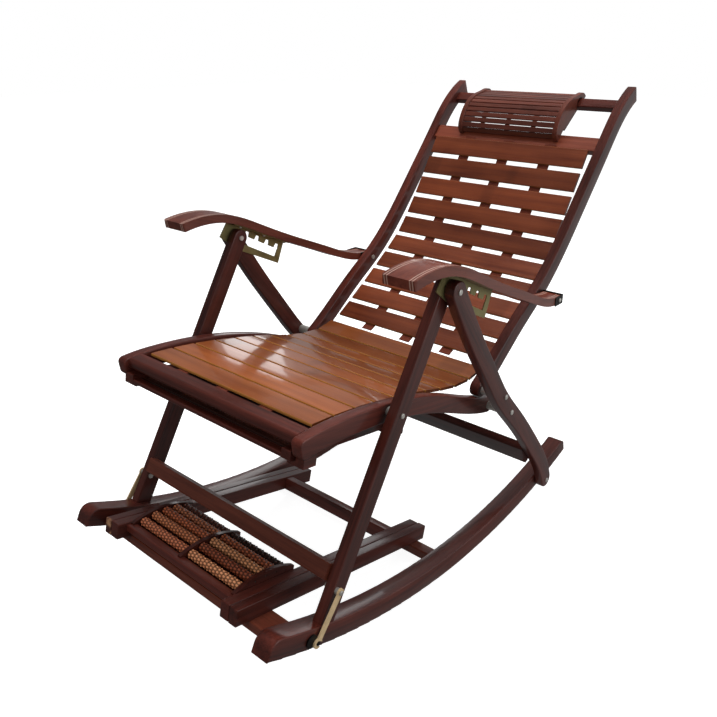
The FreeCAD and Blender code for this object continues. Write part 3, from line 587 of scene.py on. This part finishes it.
def metal_parts():
    steel = metal("Bright_steel", STEEL_WHITE, roughness=0.30, metallic=0.7)
    dull_steel = metal("Dull_steel", STEEL_DULL, roughness=0.55, metallic=0.4)
    plate = metal("Plate_zinc", ZINC_YELLOW, roughness=0.36, metallic=0.6)
    brass = metal("Hook_brass", BRASS_PALE, roughness=0.40, metallic=0.20)
    black = metal("Black_metal", PAINT_BLACK, roughness=0.40, metallic=0.6)
    for nodes, material, slot in (
        (["frame_bolts", *paired("arm_fasteners")], steel, "bright_steel"),
        (["roller_axles"], dull_steel, "bright_steel"),
        (paired("notch_plate"), plate, "plate_zinc"),
        (paired("hook"), brass, "hook_brass"),
        (["hook_catches", *paired("arm_fitting")], black, "black_metal"),
    ):
        for node in nodes:
            refined(node, material, slot)


# Massage rollers: turned cores with rows of round studs, each of its own wood

STUDS_ROUND = 8
STUD_PITCH = 0.0085
STUD_VALLEY = 0.70              # radius between the studs, as a share of the roller's
STUD_FULLNESS = 0.7             # studs are fuller than a plain wave, which has 1
STUD_STEPS = 4                  # faces over one stud, both ways
VERTICES_ROUND = STUDS_ROUND * STUD_STEPS


def hump(studs):
    """0 between two studs, and 1 in the middle of one."""
    return 0.5 - 0.5 * math.cos(2 * math.pi * studs)


def stud_height(along, around):
    """From 0 to 1, at a place counted in studs; every other row is set half a stud on."""
    stagger = 0.5 * (int(along) % 2)
    return hump(along) ** STUD_FULLNESS * hump(around + stagger) ** STUD_FULLNESS


def roller_rings(mesh, low, high):
    """Rings of vertices along a roller that fills the box from low to high."""
    stud = mesh.verts.layers.float.new("stud")
    middle = (Vector(low) + Vector(high)) / 2
    radius = (high[2] - low[2]) / 2
    length = high[0] - low[0]
    columns = int(length / STUD_PITCH) * STUD_STEPS
    rings = []
    for i in range(columns + 1):
        x = low[0] + length * i / columns
        ring = []
        for j in range(VERTICES_ROUND):
            height = stud_height(i / STUD_STEPS, j / STUD_STEPS)
            reach = radius * (STUD_VALLEY + (1.0 - STUD_VALLEY) * height)
            angle = j / STUD_STEPS * (2 * math.pi / STUDS_ROUND)
            y = middle.y + reach * math.cos(angle)
            z = middle.z + reach * math.sin(angle)
            vertex = mesh.verts.new((x, y, z))
            vertex[stud] = height
            ring.append(vertex)
        rings.append(ring)
    return rings


def roller_look(node, material):
    """A core cylinder covered with staggered rows of small domed studs."""
    mesh = bmesh.new()
    rings = roller_rings(mesh, *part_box(node))
    for a, b in zip(rings, rings[1:]):
        for j in range(VERTICES_ROUND):
            k = (j + 1) % VERTICES_ROUND
            mesh.faces.new((a[j], b[j], b[k], a[k]))
    mesh.faces.new(rings[0])
    mesh.faces.new(list(reversed(rings[-1])))
    bmesh.ops.recalc_face_normals(mesh, faces=mesh.faces)
    for face in mesh.faces:
        face.smooth = len(face.verts) == 4
    placed(mesh, node, material, "roller_wood")


def rollers():
    for node, colours in ROLLER_WOODS.items():
        wood = timber("Wood_" + node, "across", colours, **ROLLER_FINISH, studded=True)
        roller_look(node, wood)


# Studio, with left and right as the camera sees them. The camera sees white all round.
# All other rays meet a dim room, which gets brighter to the back right and is brighter
# for matt light than in reflections.

WINDOW_SIDE = (0.62, 0.78, 0.0)
RAY_GAIN = (1.0, 1.7)           # from reflections to matt light
FLOOR_HALF = 14.0
FLOOR_PAINT = (0.5, 0.5, 0.5, 1)
FLOOR_GLOW = 0.90
FLOOR_FADE = (-0.8, 2.2)        # metres towards the bright side
FLOOR_LIGHT = (0.08, 0.42)
ROOM_FADE = (-0.3, 0.9)         # share of a direction towards the bright side
ROOM_LIGHT = (0.12, 0.50)
ROOM_COLOUR = (0.96, 0.98, 1.0, 1)
BACKDROP = (1, 1, 1, 1)


def room_strength(nodes, rays, vector, fade, light):
    """How strongly the room shines from a place or a direction."""
    toward_window = nodes.fit(nodes.vector("DOT_PRODUCT", vector, WINDOW_SIDE), fade, light)
    gain = nodes.fit(rays.outputs["Is Diffuse Ray"], (0.0, 1.0), RAY_GAIN)
    return nodes.maths("MULTIPLY", toward_window, gain)


def show(nodes, rays, seen, unseen, output):
    """One shader for what the camera sees, and the other for all other rays."""
    mix = nodes.node("ShaderNodeMixShader")
    nodes.put(mix.inputs[0], rays.outputs["Is Camera Ray"])
    nodes.put(mix.inputs[1], unseen.outputs[0])
    nodes.put(mix.inputs[2], seen.outputs[0])
    nodes.put(nodes.node(output).inputs["Surface"], mix.outputs[0])


def floor_material():
    material = bpy.data.materials.new("Studio_floor")
    material.use_nodes = True
    nodes = Nodes(material.node_tree)
    rays = nodes.node("ShaderNodeLightPath")
    paint = nodes.node("ShaderNodeBsdfDiffuse")
    paint.inputs["Color"].default_value = FLOOR_PAINT
    glow = nodes.node("ShaderNodeEmission")
    glow.inputs["Strength"].default_value = FLOOR_GLOW
    white = nodes.node("ShaderNodeAddShader")
    nodes.put(white.inputs[0], paint.outputs[0])
    nodes.put(white.inputs[1], glow.outputs[0])
    bounce = nodes.node("ShaderNodeEmission")
    place = nodes.node("ShaderNodeNewGeometry").outputs["Position"]
    strength = room_strength(nodes, rays, place, FLOOR_FADE, FLOOR_LIGHT)
    nodes.put(bounce.inputs["Strength"], strength)
    show(nodes, rays, white, bounce, "ShaderNodeOutputMaterial")
    return material


def studio_floor():
    mesh = bpy.data.meshes.new("studio_floor")
    corners = [(x * FLOOR_HALF, y * FLOOR_HALF, 0) for x, y in ((-1, -1), (1, -1), (1, 1), (-1, 1))]
    mesh.from_pydata(corners, [], [(0, 1, 2, 3)])
    mesh.materials.append(floor_material())
    floor = bpy.data.objects.new("studio_floor", mesh)
    bpy.context.scene.collection.objects.link(floor)


def studio_world():
    world = bpy.data.worlds.new("Studio")
    bpy.context.scene.world = world
    world.use_nodes = True
    nodes = Nodes(world.node_tree)
    rays = nodes.node("ShaderNodeLightPath")
    white = nodes.node("ShaderNodeBackground")
    white.inputs["Color"].default_value = BACKDROP
    white.inputs["Strength"].default_value = 1.0
    room = nodes.node("ShaderNodeBackground")
    room.inputs["Color"].default_value = ROOM_COLOUR
    way = nodes.node("ShaderNodeTexCoord").outputs["Generated"]
    nodes.put(room.inputs["Strength"], room_strength(nodes, rays, way, ROOM_FADE, ROOM_LIGHT))
    show(nodes, rays, white, room, "ShaderNodeOutputWorld")


def studio_camera():
    data = bpy.data.cameras.new("Camera")
    data.lens = CAMERA_LENS
    data.sensor_width = CAMERA_SENSOR
    camera = bpy.data.objects.new("Camera", data)
    bpy.context.scene.collection.objects.link(camera)
    camera.location = CAMERA_PLACE
    camera.rotation_euler = CAMERA_AIM.to_track_quat("-Z", "Y").to_euler()
    bpy.context.scene.camera = camera


def soft_box(name, place, aim, size, power, mirrored=True):
    """A soft lamp; one that isn't mirrored doesn't show in reflections."""
    data = bpy.data.lights.new(name, "AREA")
    data.shape = "RECTANGLE"
    data.size, data.size_y = size
    data.energy = power
    light = bpy.data.objects.new(name, data)
    bpy.context.scene.collection.objects.link(light)
    light.location = place
    light.rotation_euler = (Vector(aim) - Vector(place)).to_track_quat("-Z", "Y").to_euler()
    light.visible_camera = False
    light.visible_glossy = mirrored


def studio_lamps():
    """Soft light from above, the right and the front, and two small windows behind."""
    middle = (0, 0, 0.4)
    seat = (0, -0.2, 0.45)
    arms = (0, 0, 0.5)
    window = (0.45, 0.7)
    soft_box("Light_top", (-0.2, 0.6, 2.6), middle, (2.0, 2.0), power=70.0, mirrored=False)
    soft_box("Light_window_left", (-2.7, 2.3, 0.95), seat, window, power=2.4)
    soft_box("Light_window_right", (-1.9, 3.0, 0.95), seat, window, power=2.4)
    soft_box("Light_right", (2.8, 0.6, 1.3), middle, (1.6, 1.8), power=18.0)
    soft_box("Light_front", (0.2, -2.8, 1.9), arms, (1.2, 1.2), power=24.0, mirrored=False)


timber_frame()
slats()
bands()
metal_parts()
rollers()
studio_floor()
studio_world()
studio_camera()
studio_lamps()
bpy.context.scene.view_settings.view_transform = "Standard"
